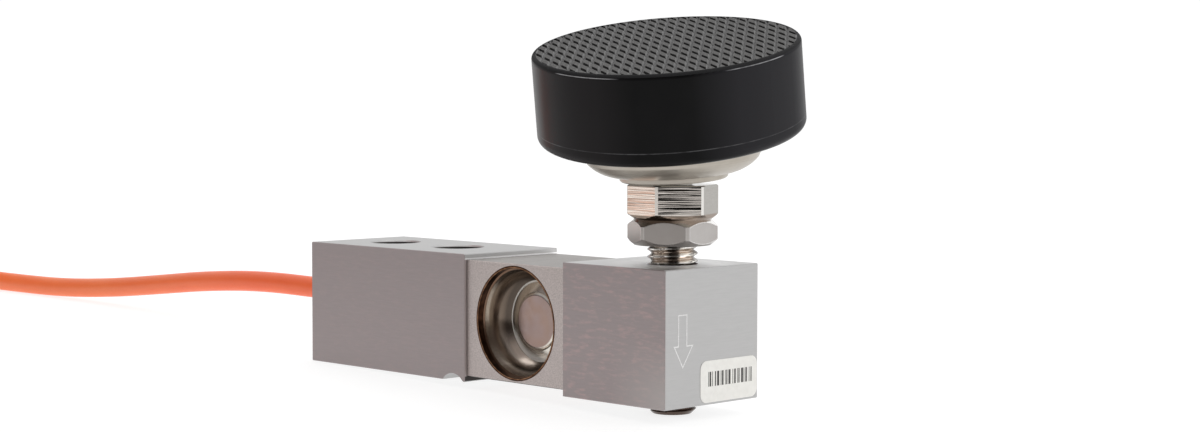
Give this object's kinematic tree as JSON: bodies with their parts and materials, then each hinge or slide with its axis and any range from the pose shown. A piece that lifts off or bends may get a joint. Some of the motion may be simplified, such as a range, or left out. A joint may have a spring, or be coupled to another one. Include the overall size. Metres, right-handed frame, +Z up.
{
  "type": "shear beam load cell",
  "caption": "Stainless steel shear beam load cell with welded seal cups, a swivelling levelling foot with a knurled rubber pad, and an orange cable.",
  "frame": {"origin": "Middle of the two mounting holes, on the beam's bottom face.", "axes": "+X along the beam from the cable end to the load end, +Z up along the holes and the foot's stud, +Y across the beam, away from the side the picture shows."},
  "size_m": [0.4453, 0.1048, 0.0935],
  "materials": {
    "beam_steel": "bead-blasted and ground stainless steel, satin",
    "cup_steel": "thin pressed stainless steel, polished, heat tinted at its welded rim",
    "turned_steel": "turned stainless steel, satin",
    "dish_steel": "turned stainless steel, fine satin",
    "gland_metal": "nickel plated brass, satin",
    "black_rubber": "moulded black rubber, satin",
    "cable_jacket": "smooth orange cable jacket",
    "black_plastic": "black nylon strap",
    "bearing_plastic": "white acetal",
    "gauge_film": "amber polyimide film with a metal foil grid",
    "circuit_board": "green board with solder pads",
    "copper_wire": "bare tinned copper",
    "potting_resin": "cast dark resin",
    "red_insulation": "red wire insulation",
    "black_insulation": "black wire insulation",
    "green_insulation": "green wire insulation",
    "white_insulation": "white wire insulation"
  },
  "bodies": {
    "load_cell": {"beam": "beam_steel", "front_seal_cup": "cup_steel", "rear_seal_cup": "cup_steel", "front_strain_gauge": "gauge_film", "rear_strain_gauge": "gauge_film", "front_terminal_strip": "circuit_board", "rear_terminal_strip": "circuit_board", "front_gauge_leads": "copper_wire", "rear_gauge_leads": "copper_wire", "bridge_wires": "copper_wire", "conductor_red": "red_insulation", "conductor_black": "black_insulation", "conductor_green": "green_insulation", "conductor_white": "white_insulation", "entry_potting": "potting_resin", "gland_body": "gland_metal", "gland_o_ring": "black_rubber", "gland_seal": "black_rubber", "gland_cap": "gland_metal", "cable": "cable_jacket", "cable_coil": "cable_jacket", "coil_tie": "black_plastic", "flying_lead_red": "red_insulation", "flying_lead_black": "black_insulation", "flying_lead_green": "green_insulation", "flying_lead_white": "white_insulation", "foot_stud": "turned_steel", "lock_nut": "turned_steel"},
    "ball_seat": {"ball_seat": "bearing_plastic"},
    "foot": {"foot_dish": "dish_steel", "retaining_ring": "dish_steel"},
    "pad": {"rubber_pad": "black_rubber"}
  },
  "joints": [
    {"name": "foot_swivel", "type": "hinge", "parent": "load_cell", "child": "ball_seat", "pos_m": [0.0889, 0, 0.0565], "axis": [0, 0, 1], "continuous": true},
    {"name": "dish_lean", "type": "hinge", "parent": "ball_seat", "child": "foot", "pos_m": [0.0889, 0, 0.0565], "axis": [0.9848, 0.1736, 0], "range_deg": [-11, 0]},
    {"name": "pad_tilt", "type": "hinge", "parent": "foot", "child": "pad", "pos_m": [0.08908, -0.00101, 0.0672], "axis": [0.8095, 0.5856, 0.042], "range_deg": [-17.7, 0]}
  ]
}
